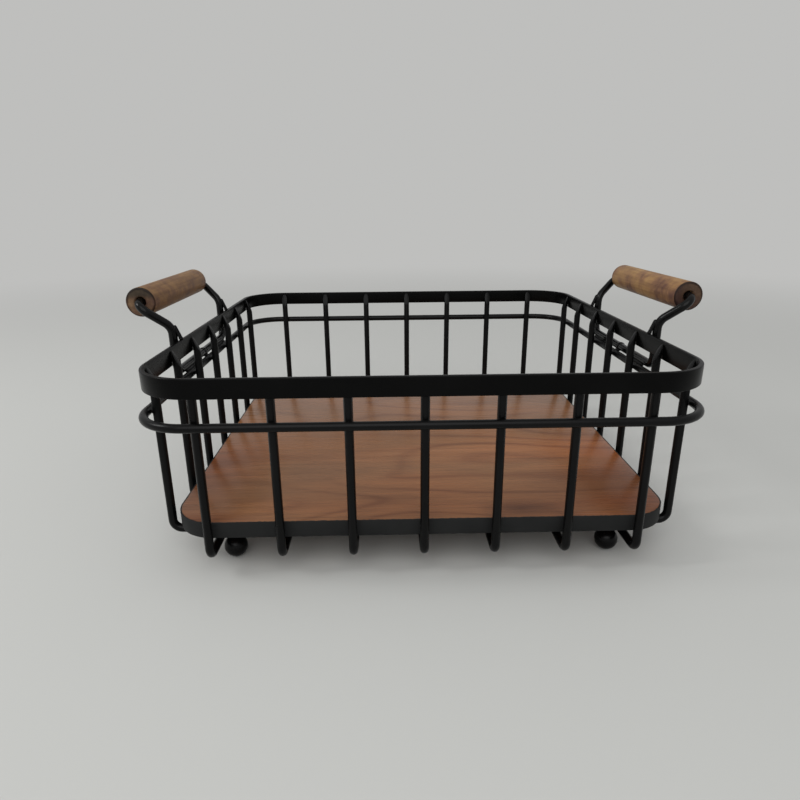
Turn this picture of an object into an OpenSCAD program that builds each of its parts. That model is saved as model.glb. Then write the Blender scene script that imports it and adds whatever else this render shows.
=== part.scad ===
// Square wire basket with a flat-bar rim, a wood-faced base board, ball feet and two
// carrying handles with turning wooden grips.
// X runs left to right, Y from front to back, Z up. The origin is on the table, under the
// middle of the basket.

/* [Rim] */
// Outside width of the rim, left to right
rim_width = 280; // [240:1:340]
// Outside depth of the rim, front to back
rim_depth = 280; // [250:1:340]
// Outside radius of the rim's four corners
rim_corner_r = 30; // [20:1:30]
// Height of the flat bar that the rim is bent from
rim_bar_h = 10; // [6:0.5:14]
// Thickness of the flat bar that the rim is bent from
rim_bar_t = 2.5; // [1.5:0.1:4]
// Height of the rim's top edge above the table
rim_top_z = 108.5; // [100:0.5:160]

/* [Wires] */
// Diameter of the wires that form the walls and the floor grid
wire_d = 4.5; // [3:0.1:5]
// Distance between neighbouring wires that run from front to back
long_wire_pitch = 36.5; // [30:0.5:37]
// Distance between neighbouring wires that run from side to side
cross_wire_pitch = 36.5; // [30:0.5:37]
// How far the wires that run from side to side stand forward of the middle
cross_wire_shift = 4; // [0:0.5:4]
// Radius of the wires' lower bends, at the middle of the wire
wire_bend_r = 5; // [4:0.5:12]
// How far the wires' upper ends stay below the rim's top edge
wire_end_drop = 1; // [0.5:0.1:3]
// Slope of the sheared upper ends of the wires
wire_end_slope = 66; // [0:1:70]
// Space that a weld bridges between two pieces
weld_gap = 0.3; // [0.15:0.05:0.5]

/* [Girdle ring] */
// Diameter of the wire of the ring round the walls
girdle_d = 4.5; // [3:0.1:5]
// Height of the middle of the ring's wire above the table
girdle_z = 84.5; // [40:0.5:88]
// Radius of the ring's corners, at the middle of the wire
girdle_corner_r = 26; // [16:1:26]

/* [Base board] */
// Thickness of the base board
board_t = 8.8; // [8:0.1:15]
// Radius of the board's corners
board_corner_r = 22; // [14:1:40]
// Space between the board's edge and the upright wires
board_gap = 2.2; // [0.5:0.1:6]
// Thickness of the black strip round the board's edge
edging_t = 0.6; // [0.4:0.1:1.5]

/* [Board tabs and screws] */
// Thickness of the steel tabs that carry the board
tab_t = 0.8; // [0.6:0.1:2.5]
// Width of a tab
tab_w = 14; // [10:0.5:18]
// Distance from the wire that carries a tab to its screw hole
tab_reach = 10; // [8:0.5:14]
// Diameter of a tab's screw hole
tab_hole_d = 4; // [3.8:0.1:5]
// Diameter of a screw's shank
screw_d = 3.5; // [2.5:0.1:3.6]
// Length of a screw under its head
screw_len = 8; // [5:0.5:9]
// Diameter of a screw's head
screw_head_d = 7; // [6:0.1:8.5]
// Height of a screw's head
screw_head_h = 2; // [1.2:0.1:2.6]
// Space round a screw's shank in the board
pilot_gap = 0.1; // [0.05:0.05:0.3]

/* [Feet] */
// Diameter of the steel balls that the basket stands on
foot_d = 12.5; // [9:0.5:16]
// Length of the neck between a foot's ball and the wire above it
foot_neck = 2.2; // [0.5:0.1:6]
// Diameter of the neck between a foot's ball and the wire above it
foot_neck_d = 5; // [4:0.5:8]
// How much further than it needs a foot stands from the wire beside it
foot_aside = 1; // [0:0.5:6]

/* [Handles] */
// Diameter of the wire of the handles
handle_wire_d = 5; // [3.5:0.1:5.4]
// Distance between the two upright legs of a handle
handle_span = 103; // [80:1:115]
// How much further out each arm stands at the grip than at the rim
handle_splay = 9; // [0:0.5:12]
// How far the handles stand forward of the middle
handle_shift = 3; // [0:0.5:8]
// Space between a handle's legs and the rim, bridged by a weld at each leg
handle_stand = 1; // [0.3:0.1:2]
// Height above the rim at which the legs turn outwards
handle_bend_rise = 7.5; // [6:0.5:12]
// Distance from the rim's outer face out to the middle of the grip
grip_out = 20; // [16:0.5:30]
// Height of the middle of the grip above the rim
grip_rise = 22; // [20:0.5:32]
// Radius of the bends between the legs and the arms, at the middle of the wire
handle_bend_r = 9; // [6:0.5:12]
// Radius of the other bends of the handles, at the middle of the wire
handle_corner_r = 6; // [5:0.5:8]
// Diameter of the rounded weld where the ends of a handle's wire meet
handle_joint_d = 6.2; // [5.6:0.1:7]
// Diameter of the short struts between the legs and the rim's top edge
strut_d = 2.2; // [1.6:0.1:2.6]

/* [Grips] */
// Diameter of the wooden grips
grip_d = 17; // [14:0.5:24]
// Diameter of the hole along a grip
grip_bore_d = 6; // [5.6:0.1:8]
// Space between each end of a grip and the bend of the wire
grip_end_gap = 0.5; // [0.3:0.1:2]
// Width of the worn edge at each end of a grip
grip_chamfer = 0.8; // [0.3:0.1:2]

/* [Hidden] */
$fn = 48;

BLACK = "#1b1b1c";
STEEL = "#8d9094";
WALNUT = "#8a5638";
DOWEL = "#93704f";

// Each way across there are seven wires, numbered from 1, with the fourth in the middle.
MIDDLE_WIRE = 4;
// The tabs sit on the second and the sixth cross wire, halfway between two long wires.
TAB_WIRE = 2;
TAB_PLACE_SHARE = 1.5;
// The struts aim at a point inside the bent wire, this share of its radius from its middle.
STRUT_AIM_SHARE = 0.7;
// Cuts run past the faces that they open by this much.
overrun = 5;
// A bend is this much thicker all round than the straight lengths, which run a little way
// into it, so that the solids join cleanly.
bend_swell = 0.02;
bend_lap = 0.3;

wire_r = wire_d / 2;
foot_r = foot_d / 2;
handle_r = handle_wire_d / 2;

// The upright wires stand against the rim's inner face. Near a corner of the rim they
// follow its curve, so their distance from the middle depends on their place.
leg_inset = rim_bar_t + weld_gap + wire_r;
leg_x = rim_width / 2 - leg_inset;
leg_y = rim_depth / 2 - leg_inset;
leg_curve_r = rim_corner_r - leg_inset;
wire_top_z = rim_top_z - wire_end_drop;

// The cross wires lie on the necks of the feet, and the long wires hang under them.
cross_run_z = foot_d + foot_neck + weld_gap + wire_r;
long_run_z = cross_run_z - wire_d - weld_gap;

girdle_x = leg_x + wire_r + weld_gap + girdle_d / 2;
girdle_y = leg_y + wire_r + weld_gap + girdle_d / 2;

// The board stands on the tabs, which stand on the cross wires.
tab_z = cross_run_z + wire_r + weld_gap;
board_z = tab_z + tab_t;
board_w = 2 * (leg_x - wire_r - board_gap);
board_d = 2 * (leg_y - wire_r - board_gap);

// The legs of a handle stand outside the rim, and the rounded weld in the middle of its
// lower bar lies against the girdle ring.
handle_x = rim_width / 2 + handle_stand + handle_r;
bar_reach = girdle_d / 2 + handle_joint_d / 2 + weld_gap;
bar_offset = handle_x - girdle_x;
bar_z = girdle_z + sqrt(max(pow(bar_reach, 2) - pow(bar_offset, 2), 0));
arm_z = rim_top_z + handle_bend_rise;
axle_x = rim_width / 2 + grip_out;
axle_z = rim_top_z + grip_rise;
leg_half = handle_span / 2;
axle_half = handle_span / 2 + handle_splay;

// Corners of the handle's wire, from the lower bar up the front leg, along the grip and
// down the back leg.
handle_points = [
    [handle_x, -leg_half, bar_z],
    [handle_x, -leg_half, arm_z],
    [axle_x, -axle_half, axle_z],
    [axle_x, axle_half, axle_z],
    [handle_x, leg_half, arm_z],
    [handle_x, leg_half, bar_z]];
handle_radii = [handle_corner_r, handle_bend_r, handle_corner_r,
    handle_corner_r, handle_bend_r, handle_corner_r];

arm_dir = unit(handle_points[2] - handle_points[1]);
axle_bend = handle_corner_r * tan(turn(arm_dir, [0, 1, 0]) / 2);
grip_len = 2 * (axle_half - axle_bend - grip_end_gap);

// A foot stands under a cross wire, beside the outermost long wire.
foot_side = foot_aside + sqrt(max(pow(foot_r + wire_r + weld_gap, 2)
    - pow(long_run_z - foot_r, 2), 0));

function unit(v) = v / norm(v);
function turn(a, b) = acos(a * b);
function long_wire_x(n) = (n - MIDDLE_WIRE) * long_wire_pitch;
function cross_wire_y(n) = (n - MIDDLE_WIRE) * cross_wire_pitch - cross_wire_shift;
function leg_reach(half, across, place) =
    half - leg_curve_r + sqrt(max(pow(leg_curve_r, 2)
        - pow(max(abs(place) - across + leg_curve_r, 0), 2), 0));
function bend_reach(before, at, after, r) = r * tan(turn(unit(at - before), unit(after - at)) / 2);

// Places children with their X, Y and Z axes along a, b and c, and their origin at p.
module in_frame(a, b, c, p)
    multmatrix([[a[0], b[0], c[0], p[0]], [a[1], b[1], c[1], p[1]], [a[2], b[2], c[2], p[2]]])
        children();

// A straight length of round wire from p to q, and further by the given laps.
module straight_wire(p, q, r, lap_p = 0, lap_q = 0) {
    along = unit(q - p);
    side = abs(along[2]) > abs(along[1]) ? [1, 0, 0] : [0, 0, 1];
    across = unit(cross(side, along));
    in_frame(across, cross(along, across), along, p - lap_p * along)
        cylinder(h = norm(q - p) + lap_p + lap_q, r = r);
}

// The bend of a round wire at the corner "at", on its way from "before" to "after".
module wire_bend(before, at, after, bend_r, r) {
    d1 = unit(at - before);
    d2 = unit(after - at);
    inward = unit(d2 - (d2 * d1) * d1);
    start = at - bend_reach(before, at, after, bend_r) * d1;
    in_frame(-inward, d1, cross(-inward, d1), start + bend_r * inward)
        rotate_extrude(angle = turn(d1, d2))
            translate([bend_r, 0]) circle(r = r + bend_swell);
}

// An open wire through the given corners, all bent to one radius.
module bent_wire(points, bend_r, r) {
    last = len(points) - 1;
    reach = [for (i = [0:last]) i == 0 || i == last ? 0
        : bend_reach(points[i - 1], points[i], points[i + 1], bend_r)];
    for (i = [0:last - 1]) {
        along = unit(points[i + 1] - points[i]);
        straight_wire(points[i] + reach[i] * along, points[i + 1] - reach[i + 1] * along, r,
            i == 0 ? 0 : bend_lap, i == last - 1 ? 0 : bend_lap);
    }
    for (i = [1:last - 1])
        wire_bend(points[i - 1], points[i], points[i + 1], bend_r, r);
}

// A closed wire through the given corners, each bent to its own radius. Every union
// holds one straight length, the bend before it and the rest of the wire.
module wire_loop(points, radii, r, i = 0) {
    n = len(points);
    before = points[(i + n - 1) % n];
    at = points[i];
    after = points[(i + 1) % n];
    beyond = points[(i + 2) % n];
    along = unit(after - at);
    union() {
        straight_wire(at + bend_reach(before, at, after, radii[i]) * along,
            after - bend_reach(at, after, beyond, radii[(i + 1) % n]) * along, r,
            bend_lap, bend_lap);
        wire_bend(before, at, after, radii[i], r);
        if (i + 1 < n)
            wire_loop(points, radii, r, i + 1);
    }
}

module rounded_rect(w, d, r) {
    square([w - 2 * r, d], center = true);
    square([w, d - 2 * r], center = true);
    for (sx = [-1, 1], sy = [-1, 1])
        translate([sx * (w / 2 - r), sy * (d / 2 - r)]) circle(r = r);
}

// One wall and floor wire, bent up at both ends, standing in the XZ plane. Its upper
// ends are sheared so that the side against the rim is the higher one.
module u_wire(half, run_z) {
    block = 2 * (wire_d / cos(wire_end_slope) + overrun);
    difference() {
        bent_wire([[-half, 0, wire_top_z], [-half, 0, run_z], [half, 0, run_z],
            [half, 0, wire_top_z]], wire_bend_r, wire_r);
        for (side = [-1, 1])
            translate([side * (half + wire_r), 0, wire_top_z])
                rotate([0, -side * wire_end_slope, 0])
                    translate([-block / 2, -block / 2, 0]) cube(block);
    }
}

module long_wire(n)
    color(BLACK) translate([long_wire_x(n), 0, 0])
        rotate([0, 0, 90]) u_wire(leg_reach(leg_y, leg_x, long_wire_x(n)), long_run_z);

module cross_wire(n)
    color(BLACK) translate([0, cross_wire_y(n), 0])
        u_wire(leg_reach(leg_x, leg_y, cross_wire_y(n)), cross_run_z);

module rim_band()
    color(BLACK) translate([0, 0, rim_top_z - rim_bar_h]) difference() {
        linear_extrude(rim_bar_h) rounded_rect(rim_width, rim_depth, rim_corner_r);
        translate([0, 0, -overrun]) linear_extrude(rim_bar_h + 2 * overrun)
            rounded_rect(rim_width - 2 * rim_bar_t, rim_depth - 2 * rim_bar_t,
                rim_corner_r - rim_bar_t);
    }

module girdle_ring()
    color(BLACK) wire_loop(
        [for (c = [[-1, -1], [1, -1], [1, 1], [-1, 1]]) [c[0] * girdle_x, c[1] * girdle_y, girdle_z]],
        [for (i = [0:3]) girdle_corner_r], girdle_d / 2);

// Places children at the four tabs, turned so that each tab points inwards.
module at_tab(sx, sy) {
    n = sy < 0 ? TAB_WIRE : 2 * MIDDLE_WIRE - TAB_WIRE;
    translate([sx * TAB_PLACE_SHARE * long_wire_pitch, cross_wire_y(n), tab_z])
        rotate([0, 0, sy < 0 ? 0 : 180]) children();
}

module base_board()
    color(WALNUT) difference() {
        translate([0, 0, board_z]) linear_extrude(board_t)
            rounded_rect(board_w - 2 * edging_t, board_d - 2 * edging_t, board_corner_r - edging_t);
        for (sx = [-1, 1], sy = [-1, 1])
            at_tab(sx, sy) translate([0, tab_reach, -overrun])
                cylinder(h = overrun + screw_len + pilot_gap, d = screw_d + 2 * pilot_gap);
    }

module board_edging()
    color(BLACK) translate([0, 0, board_z]) difference() {
        linear_extrude(board_t) rounded_rect(board_w, board_d, board_corner_r);
        translate([0, 0, -overrun]) linear_extrude(board_t + 2 * overrun)
            rounded_rect(board_w - 2 * edging_t, board_d - 2 * edging_t, board_corner_r - edging_t);
    }

// A flat tab with one square end over its wire and one round end round its screw hole.
module board_tab(sx, sy)
    color(BLACK) at_tab(sx, sy) difference() {
        linear_extrude(tab_t) union() {
            translate([-tab_w / 2, -wire_d]) square([tab_w, wire_d + tab_reach]);
            translate([0, tab_reach]) circle(d = tab_w);
        }
        translate([0, tab_reach, -overrun]) cylinder(h = tab_t + 2 * overrun, d = tab_hole_d);
    }

module board_screws()
    color(STEEL) for (sx = [-1, 1], sy = [-1, 1])
        at_tab(sx, sy) translate([0, tab_reach, 0]) {
            translate([0, 0, -screw_head_h])
                cylinder(h = screw_head_h, d1 = screw_head_d - screw_head_h, d2 = screw_head_d);
            translate([0, 0, -screw_head_h / 2])
                cylinder(h = screw_head_h / 2 + screw_len, d = screw_d);
        }

module ball_foot(sx, n)
    color(BLACK)
        translate([sx * (long_wire_x(2 * MIDDLE_WIRE - 1) - foot_side), cross_wire_y(n), foot_r]) {
            sphere(d = foot_d);
            cylinder(h = foot_r + foot_neck, d = foot_neck_d);
        }

// Places children for the right handle, or mirrored for the left one.
module at_handle(side)
    translate([0, -handle_shift, 0]) mirror([side < 0 ? 1 : 0, 0, 0]) children();

module handle_wire(side)
    color(BLACK) at_handle(side) {
        wire_loop(handle_points, handle_radii, handle_r);
        translate([handle_x, 0, bar_z]) sphere(d = handle_joint_d);
    }

// A strut runs from the inner side of a leg's upper bend down to the rim's top edge.
// It is cut flat on the rim and hollowed to lie against the bent wire.
module rim_strut(side, end) {
    fold = [handle_x, end * leg_half, arm_z];
    top = [handle_x - STRUT_AIM_SHARE * handle_r, end * leg_half, arm_z];
    foot = [(rim_width - rim_bar_t) / 2, end * leg_half, rim_top_z];
    block = 2 * (strut_d + overrun);
    color(BLACK) at_handle(side) difference() {
        straight_wire(foot - strut_d * unit(top - foot), top, strut_d / 2);
        translate([foot[0] - block / 2, foot[1] - block / 2, rim_top_z - block]) cube(block);
        bent_wire([[handle_x, end * leg_half, bar_z], fold, [axle_x, end * axle_half, axle_z]],
            handle_bend_r, handle_r + weld_gap);
    }
}

module grip(side) {
    r = grip_d / 2;
    bore = grip_bore_d / 2;
    c = grip_chamfer;
    color(DOWEL) at_handle(side) translate([axle_x, grip_len / 2, axle_z]) rotate([90, 0, 0])
        rotate_extrude()
            polygon([[bore + c, 0], [r - c, 0], [r, c], [r, grip_len - c], [r - c, grip_len],
                [bore + c, grip_len], [bore, grip_len - c], [bore, c]]);
}

rim_band();
girdle_ring();
long_wire(1);  // long_wire_1
long_wire(2);  // long_wire_2
long_wire(3);  // long_wire_3
long_wire(4);  // long_wire_4
long_wire(5);  // long_wire_5
long_wire(6);  // long_wire_6
long_wire(7);  // long_wire_7
cross_wire(1);  // cross_wire_1
cross_wire(2);  // cross_wire_2
cross_wire(3);  // cross_wire_3
cross_wire(4);  // cross_wire_4
cross_wire(5);  // cross_wire_5
cross_wire(6);  // cross_wire_6
cross_wire(7);  // cross_wire_7
base_board();
board_edging();
board_tab(-1, -1);  // tab_front_left
board_tab(1, -1);  // tab_front_right
board_tab(-1, 1);  // tab_back_left
board_tab(1, 1);  // tab_back_right
board_screws();
ball_foot(-1, 1);  // foot_front_left
ball_foot(1, 1);  // foot_front_right
ball_foot(-1, 7);  // foot_back_left
ball_foot(1, 7);  // foot_back_right
handle_wire(-1);  // left_handle_wire
handle_wire(1);  // right_handle_wire
rim_strut(-1, -1);  // left_front_strut
rim_strut(-1, 1);  // left_back_strut
rim_strut(1, -1);  // right_front_strut
rim_strut(1, 1);  // right_back_strut
grip(-1);  // left_grip
grip(1);  // right_grip
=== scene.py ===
import math
import random

import bmesh
import bpy
from mathutils import Matrix, Vector


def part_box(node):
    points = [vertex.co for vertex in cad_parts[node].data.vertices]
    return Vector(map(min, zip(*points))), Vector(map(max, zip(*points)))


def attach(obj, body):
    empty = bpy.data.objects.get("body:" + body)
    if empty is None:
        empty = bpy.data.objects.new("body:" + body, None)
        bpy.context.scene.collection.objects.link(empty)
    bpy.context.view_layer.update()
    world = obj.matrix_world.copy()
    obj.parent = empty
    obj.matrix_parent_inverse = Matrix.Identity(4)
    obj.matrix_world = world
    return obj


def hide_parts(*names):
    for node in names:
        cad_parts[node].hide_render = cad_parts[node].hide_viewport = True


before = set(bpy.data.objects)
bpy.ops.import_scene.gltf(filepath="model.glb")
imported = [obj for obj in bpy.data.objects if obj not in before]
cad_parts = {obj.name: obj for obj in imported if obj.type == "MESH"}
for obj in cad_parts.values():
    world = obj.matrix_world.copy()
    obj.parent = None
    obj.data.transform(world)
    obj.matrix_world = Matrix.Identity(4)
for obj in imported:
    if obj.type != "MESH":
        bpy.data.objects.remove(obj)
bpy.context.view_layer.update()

BODY = "basket"


# The rim: one flat steel bar, 10 mm high and 2.5 mm thick, bent on edge into a square with
# round corners. It is powder-coated black after welding, so its edges are slightly eased.

def deselect():
    """Leaves nothing selected, so that an operator acts only on what is picked next."""
    if bpy.context.object and bpy.context.object.mode != "OBJECT":
        bpy.ops.object.mode_set(mode="OBJECT")
    bpy.ops.object.select_all(action="DESELECT")


def edit(piece):
    """Opens the piece in edit mode."""
    deselect()
    piece.select_set(True)
    bpy.context.view_layer.objects.active = piece
    bpy.ops.object.mode_set(mode="EDIT")


def pick(kind, test):
    """Selects the vertices, edges or faces whose middle (and normal, for faces) pass the test."""
    mesh = bmesh.from_edit_mesh(bpy.context.object.data)
    bpy.ops.mesh.select_mode(type={"verts": "VERT", "edges": "EDGE", "faces": "FACE"}[kind])
    bpy.ops.mesh.select_all(action="DESELECT")
    for part in getattr(mesh, kind):
        if kind == "verts":
            chosen = test(part.co)
        elif kind == "edges":
            chosen = test(part.verts[0].co, part.verts[1].co)
        else:
            chosen = test(part.calc_center_median(), part.normal)
        part.select_set(chosen)
    mesh.select_flush_mode()
    bmesh.update_edit_mesh(bpy.context.object.data)


def new_piece(name):
    """Names the primitive just added and puts its place into its mesh."""
    piece = bpy.context.object
    piece.name = name
    piece.data.name = name
    deselect()
    piece.select_set(True)
    bpy.context.view_layer.objects.active = piece
    bpy.ops.object.transform_apply(location=True, rotation=True, scale=True)
    return piece


def modify(piece, kind, **settings):
    """Adds a modifier to the piece and applies it."""
    deselect()
    piece.select_set(True)
    bpy.context.view_layer.objects.active = piece
    modifier = piece.modifiers.new(kind.title(), kind)
    for key, value in settings.items():
        setattr(modifier, key, value)
    bpy.ops.object.modifier_apply(modifier=modifier.name)


def ease_edges(piece, width, steps=2, angle=50):
    """Rounds every edge sharper than the angle."""
    modify(piece, "BEVEL", width=width, segments=steps, limit_method="ANGLE",
           angle_limit=math.radians(angle), harden_normals=False, use_clamp_overlap=True)


def smooth(piece, angle=40):
    """Shades the piece smooth, apart from edges sharper than the angle."""
    deselect()
    piece.select_set(True)
    bpy.context.view_layer.objects.active = piece
    bpy.ops.object.shade_smooth_by_angle(angle=math.radians(angle))


def copy_piece(piece, name, place=Matrix.Identity(4)):
    """A copy with its own mesh, moved there in its mesh."""
    twin = piece.copy()
    twin.data = piece.data.copy()
    twin.name = name
    twin.data.name = name
    twin.data.transform(place)
    if place.determinant() < 0:
        twin.data.flip_normals()
    bpy.context.collection.objects.link(twin)
    return twin


def join(pieces, name):
    """Joins pieces into one."""
    deselect()
    for piece in pieces:
        piece.select_set(True)
    bpy.context.view_layer.objects.active = pieces[0]
    bpy.ops.object.join()
    pieces[0].name = name
    pieces[0].data.name = name
    return pieces[0]


def dress(piece, material, body, slot_name, *nodes):
    """Gives a finished piece its material and its body, and hides the nodes that it stands for. The slot
    name is not used.
    """
    piece.data.materials.clear()
    piece.data.materials.append(material)
    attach(piece, body)
    if nodes:
        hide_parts(*nodes)
    return piece


def new_material(name):
    """A material with nothing but a Principled shader, and short ways to add and link its nodes."""
    material = bpy.data.materials.new(name)
    material.use_nodes = True
    tree = material.node_tree
    shader = tree.nodes["Principled BSDF"]

    def add(kind, **settings):
        made = tree.nodes.new(kind)
        for key, value in settings.items():
            if hasattr(made, key):
                setattr(made, key, value)
            else:
                made.inputs[key.replace("_", " ")].default_value = value
        return made

    def link(source, out, target, socket):
        tree.links.new(source.outputs[out], target.inputs[socket])

    def ramp(source, out, stops):
        made = add("ShaderNodeValToRGB")
        for element, (stop, colour) in zip(made.color_ramp.elements, (stops[0], stops[-1])):
            element.position = stop
            element.color = (*colour, 1)
        for stop, colour in stops[1:-1]:
            made.color_ramp.elements.new(stop).color = (*colour, 1)
        link(source, out, made, "Fac")
        return made

    def spread(source, out, low, high):
        made = add("ShaderNodeMapRange")
        made.inputs["To Min"].default_value = low
        made.inputs["To Max"].default_value = high
        link(source, out, made, "Value")
        return made

    return material, shader, add, link, ramp, spread


def powder_coat(name, dark, light, roughness, specular):
    """Baked black powder paint: a fine orange-peel skin, with a faintly uneven shade and gloss."""
    material, shader, add, link, ramp, spread = new_material(name)
    place = add("ShaderNodeTexCoord")
    patches = add("ShaderNodeTexNoise", Scale=38.0, Detail=3.0, Roughness=0.6)
    peel = add("ShaderNodeTexNoise", Scale=900.0, Detail=2.0, Roughness=0.5)
    link(place, "Object", patches, "Vector")
    link(place, "Object", peel, "Vector")
    link(ramp(patches, "Fac", [(0.35, dark), (0.7, light)]), "Color", shader, "Base Color")
    link(spread(patches, "Fac", roughness - 0.05, roughness + 0.07), "Result", shader, "Roughness")
    bump = add("ShaderNodeBump", Strength=0.25, Distance=0.00008)
    link(peel, "Fac", bump, "Height")
    link(bump, "Normal", shader, "Normal")
    shader.inputs["Specular IOR Level"].default_value = specular
    return material


# The rim gets a darker, less glossy copy of the wires' black paint below: its darker colour is painted
# shade on the rim.
rim_paint_with_painted_shade = powder_coat("rim_paint_with_painted_shade", (0.0010, 0.0010, 0.0010), (0.0020, 0.0020, 0.0020), 0.27, 0.08)
rim_low, rim_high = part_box("rim_band")
RIM_CORNER = 0.030
RIM_THICK = 0.0025
RIM_EDGE = 0.0005
rim_top = rim_high.z

deselect()
bpy.ops.mesh.primitive_cube_add(size=1, location=(rim_low + rim_high) / 2, scale=rim_high - rim_low)
rim = new_piece("rim")
edit(rim)
pick("edges", lambda a, b: abs(a.z - b.z) > RIM_EDGE)
bpy.ops.mesh.bevel(offset=RIM_CORNER, segments=16, affect="EDGES")
pick("faces", lambda c, n: abs(n.z) > 0.9)
bpy.ops.mesh.delete(type="FACE")
modify(rim, "SOLIDIFY", thickness=RIM_THICK, offset=-1, use_even_offset=True)
ease_edges(rim, RIM_EDGE, 3)
smooth(rim)
dress(rim, rim_paint_with_painted_shade, BODY, "black_steel", "rim_band")


# The girdle ring: one 4.5 mm steel wire, bent round the outside of the walls below the rim and
# closed with a butt weld in the middle of the back. It is painted with the rest.

def draw_wire(name, radius, corners, bends, closed=False, sides=20, bend_steps=10):
    """Runs a ring of points through the corners, bent to a radius at each, as a bender does.

    The spin's angle is negated because it turns left-handed about its axis.
    """
    corners = [Vector(corner) for corner in corners]
    count = len(corners)
    if closed:
        start = (corners[-1] + corners[0]) / 2
        turns = list(range(count))
    else:
        start = corners[0]
        turns = list(range(1, count - 1))
        bends = [0.0] + list(bends) + [0.0]
    heading = (corners[turns[0]] - start).normalized()
    deselect()
    bpy.ops.mesh.primitive_circle_add(
        vertices=sides, radius=radius, location=start,
        rotation=heading.to_track_quat("Z", "Y").to_euler())
    wire = new_piece(name)
    edit(wire)
    bpy.ops.mesh.select_mode(type="VERT")
    bpy.ops.mesh.select_all(action="SELECT")
    at = start
    for turn in turns:
        corner = corners[turn]
        onward = (corners[(turn + 1) % count] - corner).normalized()
        angle = heading.angle(onward)
        reach = bends[turn] * math.tan(angle / 2)
        bpy.ops.mesh.extrude_region_move(TRANSFORM_OT_translate={"value": corner - heading * reach - at})
        at = corner - heading * reach
        inward = (onward - heading * onward.dot(heading)).normalized()
        bpy.ops.mesh.spin(steps=bend_steps, angle=-angle, center=at + inward * bends[turn],
                          axis=heading.cross(inward))
        at = corner + onward * reach
        heading = onward
    end = start if closed else corners[-1]
    bpy.ops.mesh.extrude_region_move(TRANSFORM_OT_translate={"value": end - at})
    if closed:
        bpy.ops.mesh.select_all(action="SELECT")
        bpy.ops.mesh.remove_doubles(threshold=radius * 0.02)
    else:
        bpy.ops.mesh.edge_face_add()
        bpy.ops.mesh.select_mode(type="EDGE")
        bpy.ops.mesh.select_non_manifold(extend=False)
        bpy.ops.mesh.edge_face_add()
        bpy.ops.mesh.select_all(action="SELECT")
    bpy.ops.mesh.normals_make_consistent(inside=False)
    deselect()
    return wire


black_paint = powder_coat(
    "black_powder_paint", (0.0018, 0.0018, 0.0019), (0.0036, 0.0036, 0.0037), 0.27, 0.14)
girdle_low, girdle_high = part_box("girdle_ring")
GIRDLE_BEND = 0.026
girdle_r = (girdle_high.z - girdle_low.z) / 2
girdle_z = (girdle_low.z + girdle_high.z) / 2
girdle_x = girdle_high.x - girdle_r
girdle_y = girdle_high.y - girdle_r

girdle = draw_wire(
    "girdle", girdle_r,
    [(girdle_x, girdle_y, girdle_z), (girdle_x, -girdle_y, girdle_z),
     (-girdle_x, -girdle_y, girdle_z), (-girdle_x, girdle_y, girdle_z)],
    [GIRDLE_BEND] * 4, closed=True, sides=24, bend_steps=16)
smooth(girdle)
dress(girdle, black_paint, BODY, "black_steel", "girdle_ring")


# The long wires: seven lengths of 4.5 mm steel wire that run from front to back under the cross
# wires and up inside the rim. The press that bends them also shears their ends at a slant.

WIRE_BEND = 0.005
END_SLOPE = math.radians(66)
END_EASE = 0.0003
CUT_EXACT = 0.000001


def wall_wire(name, node, along):
    """A wire bent up at both ends, in the plane of Z and the given axis, with sheared ends."""
    low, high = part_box(node)
    sideways = Vector((0, 1, 0)) if along == "x" else Vector((1, 0, 0))
    forward = Vector((1, 0, 0)) if along == "x" else Vector((0, 1, 0))
    thick = (high - low).dot(sideways) / 2
    half = high.dot(forward) - thick
    place = sideways * (low + high).dot(sideways) / 2
    run_z = Vector((0, 0, low.z + thick))
    top_z = Vector((0, 0, high.z))
    wire = draw_wire(
        name, thick, [place - forward * half + top_z, place - forward * half + run_z,
                      place + forward * half + run_z, place + forward * half + top_z],
        [WIRE_BEND] * 2)
    edit(wire)
    for side in (-1, 1):
        middle = (low.z + high.z) / 2
        pick("faces", lambda c, n: side * c.dot(forward) > 0 and (
            c.z > high.z - thick or abs(c.z - middle) < middle / 4))
        bpy.ops.mesh.bisect(
            plane_co=place + forward * side * (half + thick) + top_z,
            plane_no=Vector((0, 0, math.cos(END_SLOPE))) - forward * side * math.sin(END_SLOPE),
            threshold=CUT_EXACT, use_fill=True, clear_outer=True)
    ease_edges(wire, END_EASE, 2, 30)
    smooth(wire)
    return wire


first_wire = wall_wire("front_back_wire_1", "long_wire_1", "y")
first_low, first_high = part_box("long_wire_1")
long_wires = [first_wire]
for number in range(2, 8):
    low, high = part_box(f"long_wire_{number}")
    aside = (low.x + high.x - first_low.x - first_high.x) / 2
    long_wires.append(copy_piece(
        first_wire, f"front_back_wire_{number}", Matrix.Translation((aside, 0, 0))))
for number, wire in enumerate(long_wires, 1):
    dress(wire, black_paint, BODY, "black_steel", f"long_wire_{number}")


# The cross wires: seven more of the same, from side to side on top of the long wires. The
# front one stands where the rim begins to curve, so it is a little narrower than the others.

front_cross = wall_wire("side_wire_1", "cross_wire_1", "x")
second_cross = wall_wire("side_wire_2", "cross_wire_2", "x")
second_low, second_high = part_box("cross_wire_2")
cross_wires = [front_cross, second_cross]
for number in range(3, 8):
    low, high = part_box(f"cross_wire_{number}")
    onward = (low.y + high.y - second_low.y - second_high.y) / 2
    cross_wires.append(copy_piece(
        second_cross, f"side_wire_{number}", Matrix.Translation((0, onward, 0))))
for number, wire in enumerate(cross_wires, 1):
    dress(wire, black_paint, BODY, "black_steel", f"cross_wire_{number}")


# The welds: small resistance welds where wires cross, and short beads where the wires stand
# against the rim and the girdle ring. They are steel, and painted with the rest.

WELD_SEED = 7
CROSS_WELD = Vector((0.0016, 0.0016, 0.0011))
RIM_WELD_LONG = 0.0030
RIM_WELD_WIDE = 0.0012
WELD_DEEP = 0.0006
GIRDLE_WELD = 0.0013
RIGHT_ANGLE = math.pi / 2

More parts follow.
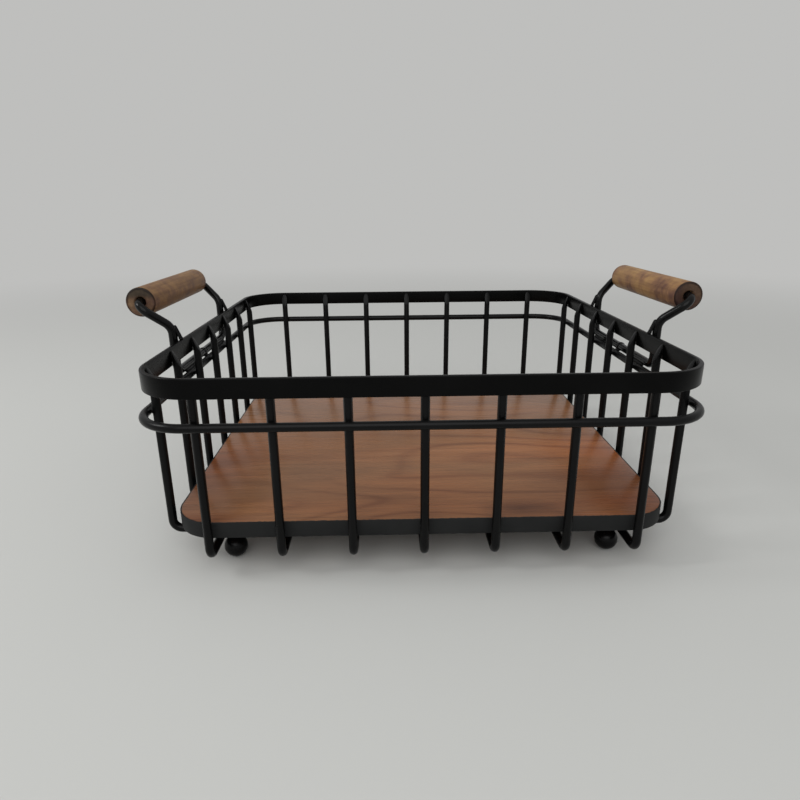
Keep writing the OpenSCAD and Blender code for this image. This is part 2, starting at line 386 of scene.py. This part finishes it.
chance = random.Random(WELD_SEED)
deselect()
bpy.ops.mesh.primitive_ico_sphere_add(subdivisions=2, radius=1.0)
weld_pattern = new_piece("weld_pattern")
edit(weld_pattern)
bpy.ops.transform.vertex_random(offset=0.06, uniform=0.0, normal=1.0, seed=WELD_SEED)
deselect()


def weld(place, size):
    """One weld of those half-sizes along X, Y and Z, turned about its height at random."""
    turn = 2 * RIGHT_ANGLE * chance.randrange(2)
    return copy_piece(weld_pattern, "weld", Matrix.Translation(place)
                      @ Matrix.Diagonal((*size, 1)) @ Matrix.Rotation(turn, 4, "Z"))


def middle_of(node):
    """The middle of a node's box."""
    low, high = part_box(node)
    return (low + high) / 2


long_places = [middle_of(f"long_wire_{number}").x for number in range(1, 8)]
cross_places = [middle_of(f"cross_wire_{number}").y for number in range(1, 8)]
wire_r = (first_high.x - first_low.x) / 2
crossing_z = (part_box("long_wire_1")[0].z + 2 * wire_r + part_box("cross_wire_2")[0].z) / 2
floor_spots = [weld((x, y, crossing_z), CROSS_WELD) for x in long_places for y in cross_places]

rim_weld_z = (rim_low.z + rim_high.z) / 2
wall_spots = []
for side in (-1, 1):
    for x in long_places:
        y = side * first_high.y
        wall_spots.append(weld((x, y, rim_weld_z), (RIM_WELD_WIDE, WELD_DEEP, RIM_WELD_LONG)))
        wall_spots.append(weld((x, y, girdle_z), (GIRDLE_WELD, WELD_DEEP, GIRDLE_WELD)))
    for number, y in enumerate(cross_places, 1):
        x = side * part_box(f"cross_wire_{number}")[1].x
        wall_spots.append(weld((x, y, rim_weld_z), (WELD_DEEP, RIM_WELD_WIDE, RIM_WELD_LONG)))
        wall_spots.append(weld((x, y, girdle_z), (WELD_DEEP, GIRDLE_WELD, GIRDLE_WELD)))
floor_welds = join(floor_spots, "floor_welds")
smooth(floor_welds, 80)
dress(floor_welds, black_paint, BODY, "black_steel")
wall_welds = join(wall_spots, "wall_welds")
smooth(wall_welds, 80)
dress(wall_welds, black_paint, BODY, "black_steel")


# The feet: four 12.5 mm steel balls, each welded by a short neck under the outermost cross wire,
# beside the outermost long wire. They are painted, and worn flat where they touch the table.

BALL_R = 0.00625
NECK_R = 0.0025
FOOT_WEAR = 0.0001
FOOT_WELD = 0.0028
FOOT_WELD_HIGH = FOOT_WELD / 4
neck_low = BALL_R * 1.8
for foot in ("foot_front_left", "foot_front_right", "foot_back_left", "foot_back_right"):
    low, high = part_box(foot)
    middle = (low + high) / 2
    deselect()
    bpy.ops.mesh.primitive_uv_sphere_add(
        segments=40, ring_count=24, radius=BALL_R, location=(middle.x, middle.y, BALL_R - FOOT_WEAR))
    ball = new_piece(foot.replace("foot_", "ball_foot_"))
    edit(ball)
    bpy.ops.mesh.select_all(action="SELECT")
    bpy.ops.mesh.bisect(plane_co=(0, 0, 0), plane_no=(0, 0, -1), threshold=CUT_EXACT,
                        use_fill=True, clear_outer=True)
    smooth(ball, 30)
    bpy.ops.mesh.primitive_cylinder_add(
        vertices=24, radius=NECK_R, depth=high.z - neck_low,
        location=(middle.x, middle.y, (high.z + neck_low) / 2))
    neck = new_piece("neck")
    smooth(neck, 30)
    fillet = weld((middle.x, middle.y, 2 * BALL_R), (FOOT_WELD * 1.1, FOOT_WELD * 1.1, FOOT_WELD_HIGH))
    under = weld((middle.x, middle.y, high.z), (FOOT_WELD, FOOT_WELD, FOOT_WELD_HIGH))
    for bead in (fillet, under):
        smooth(bead, 80)
    ball = join([ball, neck, fillet, under], ball.name)
    dress(ball, black_paint, BODY, "black_steel", foot)


# The tabs: four pieces of 0.8 mm sheet steel, each with a round end and a screw hole, welded
# on the second and the sixth cross wire. They carry the board. Their CAD solids are shown.

for tab in ("tab_front_left", "tab_front_right", "tab_back_left", "tab_back_right"):
    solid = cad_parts[tab]
    solid.data.materials.clear()
    solid.data.materials.append(black_paint)


# The board: 8.8 mm of board with a walnut veneer on top, its grain from left to right, under a
# satin lacquer. It lies on the tabs, inside the walls, and reaches almost to the wires. The black
# paint of its edge runs over onto the wood by a fraction of a millimetre.

board_low, board_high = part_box("base_board")
BOARD_CORNER = 0.0214
BOARD_EDGE = 0.0002
VEIN_RINGS = 66.0
GRAIN_SLANT = math.radians(3)
PAINT_WANDER = 0.0012


def tint(material, below, amount, above):
    """Multiplies a colour by another one. The amount and the other may be sockets or values."""
    mix = material.node_tree.nodes.new("ShaderNodeMix")
    mix.data_type = "RGBA"
    mix.blend_type = "MULTIPLY"
    for value, socket in ((amount, mix.inputs[0]), (below, mix.inputs[6]), (above, mix.inputs[7])):
        if isinstance(value, bpy.types.NodeSocket):
            material.node_tree.links.new(value, socket)
        elif isinstance(value, float):
            socket.default_value = value
        else:
            socket.default_value = (*value, 1)
    return mix.outputs[2]


def walnut_veneer(name):
    """Brown veneer: soft tone clouds, flowing veins, fine fibres and short pores, satin lacquer."""
    material, shader, add, link, ramp, spread = new_material(name)
    links = material.node_tree.links
    place = add("ShaderNodeTexCoord")

    def stretched(along, across, **noise):
        mapping = add("ShaderNodeMapping", Scale=(along, across, along), Rotation=(0.0, 0.0, GRAIN_SLANT))
        texture = add("ShaderNodeTexNoise", **noise)
        link(place, "Object", mapping, "Vector")
        link(mapping, "Vector", texture, "Vector")
        return texture

    clouds = stretched(5.0, 22.0, Scale=1.0, Detail=3.0, Roughness=0.5, Distortion=0.8)
    fibres = stretched(16.0, 620.0, Scale=1.0, Detail=3.0, Roughness=0.6, Distortion=0.25)
    flecks = stretched(90.0, 1500.0, Scale=1.0, Detail=1.0, Roughness=0.5)
    fading = stretched(14.0, 30.0, Scale=1.0, Detail=1.0, Roughness=0.5)
    heights = stretched(4.2, 13.0, Scale=1.0, Detail=1.2, Roughness=0.35, Distortion=0.35)
    rings = add("ShaderNodeMath", operation="MULTIPLY")
    rings.inputs[1].default_value = VEIN_RINGS
    veins = add("ShaderNodeMath", operation="SINE")
    link(heights, "Fac", rings, 0)
    link(rings, "Value", veins, 0)

    def patch(below, middle, reach, colour):
        """A soft patch round a place on the board, which multiplies its colour by the given one."""
        mapping = add("ShaderNodeMapping", Scale=(1 / reach[0], 1 / reach[1], 1.0),
                      Location=(-middle[0] / reach[0], -middle[1] / reach[1], -board_high.z))
        ball = add("ShaderNodeTexGradient", gradient_type="SPHERICAL")
        link(place, "Object", mapping, "Vector")
        link(mapping, "Vector", ball, "Vector")
        return tint(material, below, ball.outputs["Fac"], colour)

    tone = ramp(clouds, "Fac", [(0.30, (0.176, 0.083, 0.036)), (0.46, (0.222, 0.098, 0.040)),
                                (0.60, (0.252, 0.104, 0.040)), (0.74, (0.280, 0.128, 0.055))])
    lines = ramp(veins, "Value", [(0.0, (1.08, 1.08, 1.06)), (0.45, (1.0, 1.0, 1.0)),
                                  (0.80, (0.92, 0.89, 0.87)), (0.99, (0.74, 0.66, 0.60))])
    shown = ramp(fading, "Fac", [(0.38, (0.15, 0.15, 0.15)), (0.62, (0.9, 0.9, 0.9))])
    fine = ramp(fibres, "Fac", [(0.30, (0.78, 0.75, 0.72)), (0.48, (1.0, 1.0, 1.0)),
                                (0.66, (1.12, 1.13, 1.15))])
    pores = ramp(flecks, "Fac", [(0.28, (0.72, 0.68, 0.66)), (0.40, (1.0, 1.0, 1.0)),
                                 (0.80, (1.08, 1.08, 1.08))])
    colour = tint(material, tone.outputs["Color"], shown.outputs["Color"], lines.outputs["Color"])
    colour = tint(material, colour, 0.8, fine.outputs["Color"])
    colour = tint(material, colour, 0.6, pores.outputs["Color"])
    # A small dark knot in the veneer.
    colour = patch(colour, (0.052, -0.121), (0.024, 0.013), (0.45, 0.40, 0.38))
    # Painted reflection: a darker, redder patch at the front right, standing for the dark right wall
    # mirrored in the lacquer, which takes away its pale sheen there.
    colour = patch(colour, (0.115, -0.118), (0.085, 0.060), (0.60, 0.46, 0.38))
    # Darker along the front of the board, in the middle and at the left.
    colour = patch(colour, (0.000, -0.118), (0.085, 0.040), (0.66, 0.60, 0.56))
    colour = patch(colour, (-0.115, -0.128), (0.040, 0.012), (0.60, 0.50, 0.52))
    # Painted reflection: darker, redder patches along the left and right sides, standing for the dark
    # side walls mirrored in the lacquer, which take away its pale sheen there.
    colour = patch(colour, (-0.128, -0.070), (0.042, 0.085), (0.72, 0.52, 0.42))
    colour = patch(colour, (0.128, -0.060), (0.050, 0.090), (0.92, 0.70, 0.56))
    # A lighter patch in the right half of the board.
    colour = patch(colour, (0.090, -0.040), (0.075, 0.055), (1.20, 1.12, 1.04))

    inner = board_high.x - BOARD_CORNER
    outward = add("ShaderNodeVectorMath", operation="ABSOLUTE")
    beyond = add("ShaderNodeVectorMath", operation="SUBTRACT")
    beyond.inputs[1].default_value = (inner, inner, 0.0)
    kept = add("ShaderNodeVectorMath", operation="MAXIMUM")
    kept.inputs[1].default_value = (0.0, 0.0, 0.0)
    flat = add("ShaderNodeVectorMath", operation="MULTIPLY")
    flat.inputs[1].default_value = (1.0, 1.0, 0.0)
    away = add("ShaderNodeVectorMath", operation="LENGTH")
    ragged = add("ShaderNodeTexNoise", Scale=700.0, Detail=2.0, Roughness=0.6)
    wander = add("ShaderNodeMath", operation="MULTIPLY_ADD")
    wander.inputs[1].default_value = PAINT_WANDER
    painted = add("ShaderNodeMapRange")
    painted.inputs["From Min"].default_value = BOARD_CORNER + PAINT_WANDER / 4
    painted.inputs["From Max"].default_value = BOARD_CORNER + PAINT_WANDER / 2
    edge = add("ShaderNodeMix", data_type="RGBA")
    edge.inputs[7].default_value = (0.012, 0.011, 0.011, 1)
    link(place, "Object", outward, 0)
    link(outward, "Vector", beyond, 0)
    link(beyond, "Vector", kept, 0)
    link(kept, "Vector", flat, 0)
    link(flat, "Vector", away, 0)
    link(place, "Object", ragged, "Vector")
    link(ragged, "Fac", wander, 0)
    link(away, "Value", wander, 2)
    link(wander, "Value", painted, "Value")
    link(painted, "Result", edge, 0)
    links.new(colour, edge.inputs[6])
    links.new(edge.outputs[2], shader.inputs["Base Color"])
    link(spread(fibres, "Fac", 0.32, 0.24), "Result", shader, "Roughness")
    bump = add("ShaderNodeBump", Strength=0.15, Distance=0.00005)
    link(fibres, "Fac", bump, "Height")
    link(bump, "Normal", shader, "Normal")
    shader.inputs["Specular IOR Level"].default_value = 0.35
    return material


walnut = walnut_veneer("walnut_veneer")
deselect()
bpy.ops.mesh.primitive_cube_add(
    size=1, location=(board_low + board_high) / 2, scale=board_high - board_low)
board = new_piece("board")
edit(board)
pick("edges", lambda a, b: abs(a.z - b.z) > BOARD_EDGE)
bpy.ops.mesh.bevel(offset=BOARD_CORNER, segments=16, affect="EDGES")
ease_edges(board, BOARD_EDGE, 2)
smooth(board)
dress(board, walnut, BODY, "walnut_board", "base_board")


# The edging: a thin black strip round the edge of the board, or paint as thick. It is matte,
# and a little paler than the painted steel.

edging_black = powder_coat(
    "edging_black", (0.012, 0.0125, 0.0125), (0.018, 0.0185, 0.0185), 0.6, 0.14)
edging_low, edging_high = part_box("board_edging")
EDGING_CORNER = 0.022
EDGING_EASE = 0.00015
deselect()
bpy.ops.mesh.primitive_cube_add(
    size=1, location=(edging_low + edging_high) / 2, scale=edging_high - edging_low)
edging = new_piece("edging")
edit(edging)
pick("edges", lambda a, b: abs(a.z - b.z) > BOARD_EDGE)
bpy.ops.mesh.bevel(offset=EDGING_CORNER, segments=16, affect="EDGES")
pick("faces", lambda c, n: abs(n.z) > 0.9)
bpy.ops.mesh.delete(type="FACE")
modify(edging, "SOLIDIFY", thickness=edging_high.x - board_high.x, offset=-1, use_even_offset=True)
ease_edges(edging, EDGING_EASE, 2)
smooth(edging)
dress(edging, edging_black, BODY, "black_edging", "board_edging")


# The screws: four zinc-plated wood screws with domed heads and a cross recess, driven up
# through the tabs into the board.

def bright_zinc(name):
    """Zinc plating: grey metal, finely spotted and a little uneven in its gloss."""
    material, shader, add, link, ramp, spread = new_material(name)
    place = add("ShaderNodeTexCoord")
    spots = add("ShaderNodeTexNoise", Scale=600.0, Detail=3.0, Roughness=0.6)
    link(place, "Object", spots, "Vector")
    shade = ramp(spots, "Fac", [(0.0, (0.34, 0.35, 0.37)), (1.0, (0.56, 0.57, 0.59))])
    link(shade, "Color", shader, "Base Color")
    link(spread(spots, "Fac", 0.25, 0.45), "Result", shader, "Roughness")
    shader.inputs["Metallic"].default_value = 1.0
    return material


zinc = bright_zinc("bright_zinc")
SCREW_HEAD_R = 0.0035
SCREW_HEAD_H = 0.0020
SCREW_SHANK_R = 0.00175
RECESS_LONG = 0.0040
RECESS_WIDE = 0.0009
RECESS_DEEP = 0.0012
POINT_LONG = 0.0020
POINT_SHARE = 0.3
DOME_INSET_SHARES = (0.10, 0.20, 0.30)
DOME_SHARES = ((0.99, 0.55), (0.85, 0.22), (0.60, 0.06))
SCREW_TURN = 0.5
screw_low, screw_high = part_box("board_screws")
tab_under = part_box("tab_front_left")[0].z
deselect()
bpy.ops.mesh.primitive_cylinder_add(
    vertices=32, radius=SCREW_HEAD_R, depth=SCREW_HEAD_H, location=(0, 0, -SCREW_HEAD_H / 2))
screw = new_piece("screw")
edit(screw)
pick("faces", lambda c, n: n.z < -0.9)
for share in DOME_INSET_SHARES:
    bpy.ops.mesh.inset(thickness=SCREW_HEAD_R * share, depth=0)
for reach, rise in DOME_SHARES:
    pick("verts", lambda v: v.z < -SCREW_HEAD_H * 0.99 and v.xy.length > SCREW_HEAD_R * reach)
    bpy.ops.transform.translate(value=(0, 0, SCREW_HEAD_H * rise))
pick("faces", lambda c, n: n.z > 0.9)
bpy.ops.mesh.inset(thickness=SCREW_HEAD_R - SCREW_SHANK_R)
for length in (screw_high.z - tab_under - POINT_LONG, POINT_LONG):
    bpy.ops.mesh.extrude_region_move(TRANSFORM_OT_translate={"value": (0, 0, length)})
bpy.ops.transform.resize(value=(POINT_SHARE, POINT_SHARE, 1))
for long, wide in ((RECESS_LONG, RECESS_WIDE), (RECESS_WIDE, RECESS_LONG)):
    deselect()
    bpy.ops.mesh.primitive_cube_add(
        size=1, location=(0, 0, -SCREW_HEAD_H), scale=(long, wide, 2 * RECESS_DEEP))
    cutter = new_piece("recess")
    modify(screw, "BOOLEAN", operation="DIFFERENCE", object=cutter, solver="EXACT")
    bpy.data.objects.remove(cutter)
smooth(screw, 35)
screw_x = screw_high.x - SCREW_HEAD_R
screws = []
for y in (screw_low.y + SCREW_HEAD_R, screw_high.y - SCREW_HEAD_R):
    for x in (-screw_x, screw_x):
        screws.append(copy_piece(screw, "screw", Matrix.Translation((x, y, tab_under))
                                 @ Matrix.Rotation(SCREW_TURN * len(screws), 4, "Z")))
bpy.data.objects.remove(screw)
board_fixings = join(screws, "board_fixings")
dress(board_fixings, zinc, BODY, "screw_steel", "board_screws")


# The handles: each is one closed loop of 5 mm steel wire. Its lower bar lies along the girdle
# ring, its legs stand outside the rim, and its arms lean out and apart to the grip's axle. The
# ends of the wire meet in a round weld in the middle of the bar, which rests on the ring.

HANDLE_LEG_X = 0.1435
HANDLE_HALF = 0.0515
HANDLE_SHIFT = -0.003
HANDLE_FOLD_Z = 0.116
AXLE_X = 0.160
AXLE_HALF = 0.0605
AXLE_Z = 0.1305
HANDLE_BENDS = (0.006, 0.009, 0.006, 0.006, 0.009, 0.006)
JOINT_BEAD = 0.0031
JOINT_LONG = {"left": 0.0050, "right": 0.0037}
handle_paint = powder_coat(
    "handle_paint", (0.0018, 0.0018, 0.0019), (0.0036, 0.0036, 0.0037), 0.16, 0.17)
handle_low, handle_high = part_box("right_handle_wire")
handle_r = handle_high.z - AXLE_Z
bar_z = handle_low.z + JOINT_BEAD

for side, name in ((1, "right"), (-1, "left")):
    corners = [(HANDLE_LEG_X, -HANDLE_HALF, bar_z), (HANDLE_LEG_X, -HANDLE_HALF, HANDLE_FOLD_Z),
               (AXLE_X, -AXLE_HALF, AXLE_Z), (AXLE_X, AXLE_HALF, AXLE_Z),
               (HANDLE_LEG_X, HANDLE_HALF, HANDLE_FOLD_Z), (HANDLE_LEG_X, HANDLE_HALF, bar_z)]
    loop = draw_wire(
        f"{name}_handle", handle_r, [(side * x, y + HANDLE_SHIFT, z) for x, y, z in corners],
        HANDLE_BENDS, closed=True, sides=24, bend_steps=12)
    smooth(loop)
    deselect()
    bpy.ops.mesh.primitive_uv_sphere_add(
        segments=24, ring_count=16, radius=1, location=(side * HANDLE_LEG_X, HANDLE_SHIFT, bar_z),
        rotation=(RIGHT_ANGLE, 0, 0), scale=(JOINT_BEAD, JOINT_BEAD, JOINT_LONG[name]))
    bead = new_piece("bead")
    smooth(bead, 80)
    loop = join([loop, bead], loop.name)
    dress(loop, handle_paint, BODY, "black_steel", f"{name}_handle_wire")


# The struts: a short wire of 2.2 mm from each leg of a handle down to the top of the rim, with a
# bead of weld at both ends.

STRUT_R = 0.0011
STRUT_AIM = 0.00175
LOW_BEAD = Vector((1.3, 1.4, 0.8)) * STRUT_R
HIGH_BEAD = Vector((1.2, 1.35, 2.4)) * STRUT_R
for side, name in ((1, "right"), (-1, "left")):
    for end, where in ((-1, "front"), (1, "back")):
        y = HANDLE_SHIFT + end * HANDLE_HALF
        foot = Vector((side * (rim_high.x - RIM_THICK / 2), y, rim_top))
        head = Vector((side * (HANDLE_LEG_X - STRUT_AIM), y, HANDLE_FOLD_Z))
        along = head - foot
        deselect()
        bpy.ops.mesh.primitive_cylinder_add(
            vertices=20, radius=STRUT_R, depth=along.length, location=(foot + head) / 2,
            rotation=along.to_track_quat("Z", "Y").to_euler())
        strut = new_piece(f"{name}_{where}_brace")
        along.normalize()
        beads = [weld(foot + along * STRUT_R * 0.6, LOW_BEAD),
                 weld(head - along * STRUT_R * 1.4 + Vector((side * STRUT_R * 0.5, 0, 0)), HIGH_BEAD)]
        smooth(strut, 40)
        for bead in beads:
            smooth(bead, 80)
        strut = join([strut, *beads], strut.name)
        dress(strut, black_paint, BODY, "black_steel", f"{name}_{where}_strut")


# The handles' welds: a bead between each leg and the rim, a short one under the joint of the bar,
# and two thin seams along the bar and the girdle ring. They are painted with the rest.

HANDLE_STAND = 0.001
LEG_WELD = (HANDLE_STAND * 0.9, RIM_WELD_WIDE * 1.3, RIM_WELD_LONG * 1.3)
BAR_WELD = (0.0012, 0.0032, 0.0012)
SEAM_R = 0.0011
SEAM_LONG = 0.022
SEAMS = (-0.031, 0.034)
handle_spots = []
for side in (-1, 1):
    for end in (-1, 1):
        y = HANDLE_SHIFT + end * HANDLE_HALF
        handle_spots.append(weld((side * (rim_high.x + HANDLE_STAND / 2), y, rim_weld_z), LEG_WELD))
    contact = Vector((side * (girdle_x + HANDLE_LEG_X) / 2, HANDLE_SHIFT, (girdle_z + bar_z) / 2))
    handle_spots.append(weld(contact, BAR_WELD))
    for away in SEAMS:
        deselect()
        bpy.ops.mesh.primitive_cylinder_add(
            vertices=12, radius=SEAM_R, depth=SEAM_LONG, location=contact + Vector((0, away, 0)),
            rotation=(RIGHT_ANGLE, 0, 0))
        seam = new_piece("seam")
        ease_edges(seam, SEAM_R * 0.8, 3)
        handle_spots.append(seam)
handle_welds = join(handle_spots, "handle_welds")
smooth(handle_welds, 80)
dress(handle_welds, black_paint, BODY, "black_steel")
bpy.data.objects.remove(weld_pattern)


# The grips: turned hardwood dowels with a drilled bore, loose on the handles' axles. They are
# oiled, blotchy and slightly worn at the ends, and darker on the end grain.

SCORCH_WANDER = 0.0040


def grip_wood(name, middle, grip_r, half_long, look):
    """Oiled dowel: blotches, grain along the axle, burnt rims and end grain of its own colour."""
    material, shader, add, link, ramp, spread = new_material(name)
    links = material.node_tree.links
    place = add("ShaderNodeTexCoord")
    centred = add("ShaderNodeMapping", Location=(-middle.x, -middle.y, -middle.z))
    moved = add("ShaderNodeMapping", Location=(look["shift"], 0.0, 0.0))
    along = add("ShaderNodeMapping", Scale=(520.0, 26.0, 520.0))
    blotches = add(
        "ShaderNodeTexNoise", Scale=look["mottle"], Detail=4.0, Roughness=0.6, Distortion=0.25)
    grain = add("ShaderNodeTexNoise", Scale=1.0, Detail=3.0, Roughness=0.6)
    link(place, "Object", centred, "Vector")
    link(centred, "Vector", moved, "Vector")
    link(moved, "Vector", blotches, "Vector")
    link(moved, "Vector", along, "Vector")
    link(along, "Vector", grain, "Vector")

    def ease_in(source, out, start, end):
        made = add("ShaderNodeMapRange", interpolation_type="SMOOTHSTEP")
        made.inputs["From Min"].default_value = start
        made.inputs["From Max"].default_value = end
        link(source, out, made, "Value")
        return made

    stops = []
    for stop, colour in ((0.34, (0.110, 0.052, 0.034)), (0.43, (0.200, 0.104, 0.050)),
                         (0.54, (0.282, 0.160, 0.064)), (0.68, (0.340, 0.203, 0.088))):
        stops.append((0.5 + (stop - 0.5) * look["calm"], [a * b for a, b in zip(colour, look["tone"])]))
    tones = ramp(blotches, "Fac", stops)
    lines = ramp(grain, "Fac", [(0.30, (0.66, 0.61, 0.57)), (0.62, (1.10, 1.10, 1.08))])
    both = tint(material, tones.outputs["Color"], 0.7, lines.outputs["Color"])

    split = add("ShaderNodeSeparateXYZ")
    reach = add("ShaderNodeMath", operation="ABSOLUTE")
    flat = add("ShaderNodeVectorMath", operation="MULTIPLY")
    flat.inputs[1].default_value = (1, 0, 1)
    away = add("ShaderNodeVectorMath", operation="LENGTH")
    link(centred, "Vector", split, "Vector")
    link(split, "Y", reach, 0)
    link(centred, "Vector", flat, 0)
    link(flat, "Vector", away, 0)
    scorch = add("ShaderNodeMath", operation="MULTIPLY_ADD")
    scorch.inputs[1].default_value = SCORCH_WANDER
    link(blotches, "Fac", scorch, 0)
    link(away, "Value", scorch, 2)
    face = ease_in(reach, "Value", half_long - 0.0010, half_long - 0.0003)
    near_end = ease_in(reach, "Value", half_long - 0.0014, half_long - 0.0006)
    near_edge = ease_in(scorch, "Value", grip_r + 0.0004, grip_r + 0.0014)
    burnt = add("ShaderNodeMath", operation="MULTIPLY")
    link(near_end, "Result", burnt, 0)
    link(near_edge, "Result", burnt, 1)
    # The end face is drawn darker towards its top.
    end_top_dark = add("ShaderNodeMath", operation="MULTIPLY")
    link(face, "Result", end_top_dark, 0)
    link(ease_in(split, "Z", 0.0005, 0.0045), "Result", end_top_dark, 1)
    colour = tint(material, both, face.outputs["Result"], look["end_tone"])
    colour = tint(material, colour, end_top_dark.outputs["Value"], look["end_top_tone"])
    colour = tint(material, colour, burnt.outputs["Value"], (0.30, 0.26, 0.25))
    links.new(colour, shader.inputs["Base Color"])
    link(spread(blotches, "Fac", 0.42, 0.62), "Result", shader, "Roughness")
    bump = add("ShaderNodeBump", Strength=0.4, Distance=0.00012)
    link(grain, "Fac", bump, "Height")
    link(bump, "Normal", shader, "Normal")
    shader.inputs["Specular IOR Level"].default_value = 0.2
    return material


GRIP_BORE_R = 0.003
GRIP_WORN = 0.0010
GRIP_LOOKS = {
    "left": {"tone": (0.84, 0.82, 0.9), "end_tone": (0.74, 0.8, 1.0), "end_top_tone": (0.3, 0.36, 0.42),
             "mottle": 130.0, "calm": 1.7, "shift": 0.11},
    "right": {"tone": (1.17, 1.18, 1.2), "end_tone": (0.27, 0.27, 0.4), "end_top_tone": (0.9, 0.9, 0.92),
             "mottle": 46.0, "calm": 1.0, "shift": 0.0},
}
for name, look in GRIP_LOOKS.items():
    low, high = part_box(f"{name}_grip")
    middle = (low + high) / 2
    grip_r = (high.z - low.z) / 2
    half_long = (high.y - low.y) / 2
    deselect()
    bpy.ops.mesh.primitive_cylinder_add(
        vertices=64, radius=grip_r, depth=2 * half_long, location=middle, rotation=(RIGHT_ANGLE, 0, 0))
    dowel = new_piece(f"{name}_wooden_grip")
    edit(dowel)
    pick("faces", lambda c, n: abs(n.y) > 0.9)
    bpy.ops.mesh.inset(thickness=grip_r - GRIP_BORE_R)
    bpy.ops.mesh.bridge_edge_loops()
    ease_edges(dowel, GRIP_WORN, 4)
    smooth(dowel, 50)
    wood = grip_wood(f"{name}_grip_wood", middle, grip_r, half_long, look)
    dress(dowel, wood, f"{name}_grip", "grip_wood", f"{name}_grip")


# The floor is a plain pale table top that fades into an even background of the same tone.

FLOOR_REACH = 6.0
FLOOR_DROP = 0.0001
BACKGROUND = (0.52, 0.52, 0.51)
floor_material, floor_shader, add, link = new_material("pale_floor")[:4]
floor_shader.inputs["Base Color"].default_value = (0.56, 0.565, 0.545, 1)
floor_shader.inputs["Roughness"].default_value = 0.5
floor_shader.inputs["Specular IOR Level"].default_value = 0.12
far = add("ShaderNodeEmission", Color=(*BACKGROUND, 1), Strength=1.0)
place = add("ShaderNodeTexCoord")
reach = add("ShaderNodeVectorMath", operation="LENGTH")
fade = add("ShaderNodeMapRange", interpolation_type="SMOOTHSTEP")
fade.inputs["From Min"].default_value = 0.45
fade.inputs["From Max"].default_value = 1.6
mix = add("ShaderNodeMixShader")
link(place, "Object", reach, "Vector")
link(reach, "Value", fade, "Value")
link(fade, "Result", mix, "Fac")
floor_material.node_tree.links.new(floor_shader.outputs[0], mix.inputs[1])
floor_material.node_tree.links.new(far.outputs[0], mix.inputs[2])
link(mix, "Shader", floor_material.node_tree.nodes["Material Output"], "Surface")

deselect()
bpy.ops.mesh.primitive_circle_add(
    vertices=96, radius=FLOOR_REACH, fill_type="NGON", location=(0, 0, -FLOOR_DROP))
floor = new_piece("floor")
floor.data.materials.append(floor_material)


# The light: an even pale surround, a little stronger in front and above, a small lamp from the
# left as a window gives, and a large soft one in front, which keeps the shadow under the basket
# narrow. The camera sees the plain background instead of the surround.

world = bpy.data.worlds.new("studio")
bpy.context.scene.world = world
world.use_nodes = True
sky = world.node_tree
sky.nodes.clear()


def add_sky(kind, **settings):
    made = sky.nodes.new(kind)
    for key, value in settings.items():
        if hasattr(made, key):
            setattr(made, key, value)
        else:
            made.inputs[key.replace("_", " ")].default_value = value
    return made


way = add_sky("ShaderNodeTexCoord")
parts = add_sky("ShaderNodeSeparateXYZ")
behind = add_sky("ShaderNodeMapRange", interpolation_type="SMOOTHSTEP")
behind.inputs["From Min"].default_value = -0.3
behind.inputs["From Max"].default_value = 0.8
behind.inputs["To Min"].default_value = 0.58
behind.inputs["To Max"].default_value = 0.44
above = add_sky("ShaderNodeMapRange", interpolation_type="SMOOTHSTEP")
above.inputs["From Min"].default_value = 0.2
above.inputs["From Max"].default_value = 0.9
above.inputs["To Min"].default_value = 0.0
above.inputs["To Max"].default_value = 0.15
level = add_sky("ShaderNodeMath", operation="ADD")
surround = add_sky("ShaderNodeBackground", Color=(1.0, 1.0, 1.0, 1))
backdrop = add_sky("ShaderNodeBackground", Color=(*BACKGROUND, 1), Strength=1.0)
ray = add_sky("ShaderNodeLightPath")
choice = add_sky("ShaderNodeMixShader")
out = add_sky("ShaderNodeOutputWorld")
for source, name, target, socket in (
        (way, "Generated", parts, "Vector"), (parts, "Y", behind, "Value"), (parts, "Z", above, "Value"),
        (behind, "Result", level, 0), (above, "Result", level, 1), (level, "Value", surround, "Strength"),
        (ray, "Is Camera Ray", choice, "Fac"), (surround, "Background", choice, 1),
        (backdrop, "Background", choice, 2), (choice, "Shader", out, "Surface")):
    sky.links.new(source.outputs[name], target.inputs[socket])


def soft_lamp(name, place, size, power):
    """A square lamp of that size in metres, aimed at the basket."""
    deselect()
    bpy.ops.object.light_add(type="AREA", location=place)
    lamp = bpy.context.object
    lamp.name = name
    lamp.data.shape = "SQUARE"
    lamp.data.size = size
    lamp.data.energy = power
    lamp.rotation_mode = "QUATERNION"
    lamp.rotation_quaternion = (LAMP_AIM - Vector(place)).to_track_quat("-Z", "Y")


LAMP_AIM = Vector((0, 0, 0.05))
soft_lamp("window_lamp", (-1.1, -0.2, 0.9), 0.4, 4.5)
soft_lamp("front_lamp", (-0.15, -1.15, 1.05), 1.3, 7.5)


# The camera stands where the photograph was taken from: a fit to the rim, wires, feet and
# board gave its place, its turn and its focal length of 591 pixels in an 800 pixel frame.

FOCAL_PX = 590.935
FRAME_PX = 800
SENSOR_MM = 36.0
CAMERA_PLACE = (-0.017301, -0.399193, 0.182660)
PITCH_DOWN = math.radians(18.247)
TURN_RIGHT = math.radians(1.149)
ROLL = math.radians(-0.469)
deselect()
bpy.ops.object.camera_add()
camera = bpy.context.object
camera.name = "camera"
camera.data.sensor_width = SENSOR_MM
camera.data.lens = FOCAL_PX / FRAME_PX * SENSOR_MM
camera.data.clip_start = 0.01
camera.data.clip_end = 50
camera.matrix_world = (
    Matrix.Translation(CAMERA_PLACE) @ Matrix.Rotation(-TURN_RIGHT, 4, "Z")
    @ Matrix.Rotation(RIGHT_ANGLE - PITCH_DOWN, 4, "X") @ Matrix.Rotation(ROLL, 4, "Z"))
bpy.context.scene.camera = camera
bpy.context.scene.view_settings.view_transform = "Standard"
